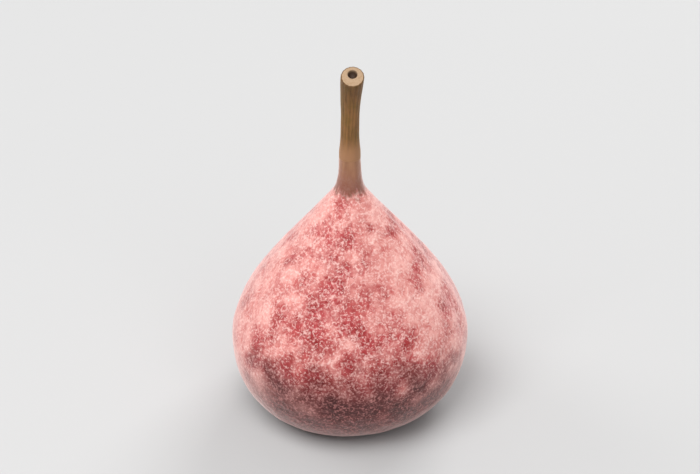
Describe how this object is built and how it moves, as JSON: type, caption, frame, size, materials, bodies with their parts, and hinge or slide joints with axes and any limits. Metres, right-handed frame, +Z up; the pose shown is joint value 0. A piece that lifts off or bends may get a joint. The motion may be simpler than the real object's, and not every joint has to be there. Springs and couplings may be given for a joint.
{
  "type": "fig",
  "caption": "Ripe whole fig with a round belly, a sloping shoulder, a slim neck and its cut stalk, standing on its flattened base.",
  "frame": {"origin": "on the resting surface, under the middle of the fruit's box", "axes": "+Z up along the fruit towards the stalk, -Y towards the viewer"},
  "size_m": [0.0464, 0.0456, 0.0755],
  "materials": {
    "fruit_skin": "matte skin under a pale waxy bloom",
    "stalk": "matte green-brown bark with a pale cut end",
    "eye": "matte dry scales"
  },
  "bodies": {
    "root": {"fruit": "fruit_skin", "stem": "stalk", "eye_scales": "eye"}
  },
  "joints": []
}
